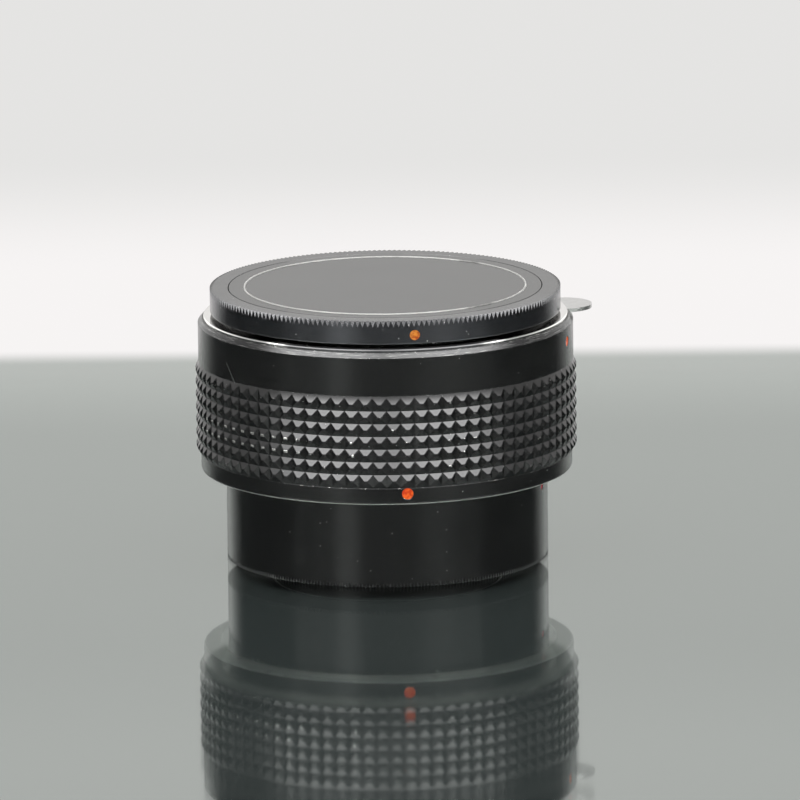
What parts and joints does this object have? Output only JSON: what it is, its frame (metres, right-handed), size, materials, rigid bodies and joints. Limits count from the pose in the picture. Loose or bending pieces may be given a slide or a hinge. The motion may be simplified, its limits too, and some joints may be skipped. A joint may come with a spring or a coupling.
{
  "type": "camera teleconverter",
  "caption": "Short black lens converter with a diamond grip, a bayonet at each end, a lens cell, coupling rings, a release tab and two turning caps.",
  "frame": {"origin": "middle of the rear cap's flat underside, on the optical axis", "axes": "+Z along the optical axis, from the camera side up to the lens side; -Y towards the viewer of the picture; the release tab points to +X"},
  "size_m": [0.0691, 0.0662, 0.0476],
  "materials": {
    "barrel_black": "satin black anodised",
    "grip_rubber": "moulded, matte",
    "mount_chrome": "turned and plated",
    "screw_steel": "bright",
    "spring_steel": "drawn wire",
    "spring_bronze": "rolled strip",
    "inner_black": "matte black anti-reflection",
    "glass_coated": "coated optical glass",
    "lever_steel": "brushed",
    "coupling_brass": "turned",
    "coupling_aluminium": "turned",
    "cap_black": "polished moulding",
    "cap_disc_black": "satin moulding",
    "bright_ring": "bright inlay",
    "dot_orange": "filled paint",
    "dot_red": "filled paint"
  },
  "bodies": {
    "rear_cap": {"rear_cap_shell": "cap_black", "rear_cap_dot": "dot_red"},
    "rear_cap_plate": {"rear_cap_disc": "cap_disc_black", "rear_cap_ring": "bright_ring"},
    "converter": {"outer_barrel": "barrel_black", "grip_ring": "grip_rubber", "front_index_dot": "dot_orange", "rear_index_dot": "dot_orange", "front_mount": "mount_chrome", "front_mount_screws": "screw_steel", "lug_spring": "spring_bronze", "inner_frame": "inner_black", "frame_screws": "screw_steel", "lens_cell": "inner_black", "front_element": "glass_coated", "front_spacer": "inner_black", "second_element": "glass_coated", "third_element": "glass_coated", "rear_spacer": "inner_black", "rear_element": "glass_coated", "front_retaining_ring": "inner_black", "rear_retaining_ring": "inner_black", "coupling_retainer": "spring_steel", "rear_mask": "inner_black", "rear_mount": "mount_chrome", "rear_mount_screws": "screw_steel", "release_spring": "spring_steel", "lock_pin_spring": "spring_steel", "diaphragm_spring": "spring_steel", "aperture_spring": "spring_steel"},
    "release_lever": {"release_lever": "lever_steel"},
    "lock_pin": {"lock_pin": "mount_chrome"},
    "diaphragm_coupler": {"diaphragm_ring": "coupling_brass"},
    "aperture_coupler": {"aperture_ring": "coupling_aluminium"},
    "front_cap_plate": {"front_cap_disc": "cap_disc_black", "front_cap_ring": "bright_ring"},
    "front_cap": {"front_cap_rim": "cap_black", "front_cap_dot": "dot_orange"}
  },
  "joints": [
    {"name": "rear_cap_turn", "type": "hinge", "parent": "rear_cap", "child": "rear_cap_plate", "pos_m": [0, 0, 0], "axis": [0, 0, -1], "range_deg": [0, 65]},
    {"name": "rear_cap_lift", "type": "slide", "parent": "rear_cap_plate", "child": "converter", "axis": [0, 0, 1], "range_m": [0, 0.025]},
    {"name": "front_cap_lift", "type": "slide", "parent": "converter", "child": "front_cap_plate", "axis": [0, 0, 1], "range_m": [0, 0.025]},
    {"name": "front_cap_turn", "type": "hinge", "parent": "front_cap_plate", "child": "front_cap", "pos_m": [0, 0, 0.0427], "axis": [0, 0, -1], "range_deg": [0, 65]},
    {"name": "release_lever_turn", "type": "hinge", "parent": "converter", "child": "release_lever", "pos_m": [0, 0, 0.0418], "axis": [0, 0, 1], "range_deg": [0, 8], "stiffness_Nm_per_rad": 0.05, "deforming": ["release_spring"]},
    {"name": "lock_pin_slide", "type": "slide", "parent": "converter", "child": "lock_pin", "axis": [0, 0, -1], "range_m": [0, 0.0015], "deforming": ["lock_pin_spring"]},
    {"name": "diaphragm_turn", "type": "hinge", "parent": "converter", "child": "diaphragm_coupler", "pos_m": [0, 0, 0.0271], "axis": [0, 0, 1], "range_deg": [0, 25], "stiffness_Nm_per_rad": 0.02, "deforming": ["diaphragm_spring"]},
    {"name": "aperture_turn", "type": "hinge", "parent": "converter", "child": "aperture_coupler", "pos_m": [0, 0, 0.0291], "axis": [0, 0, 1], "range_deg": [0, 60], "stiffness_Nm_per_rad": 0.01, "deforming": ["aperture_spring"]}
  ],
  "couplings": [
    {"joint": "lock_pin_slide", "follows": "release_lever_turn", "m_per_rad": 0.01074}
  ]
}
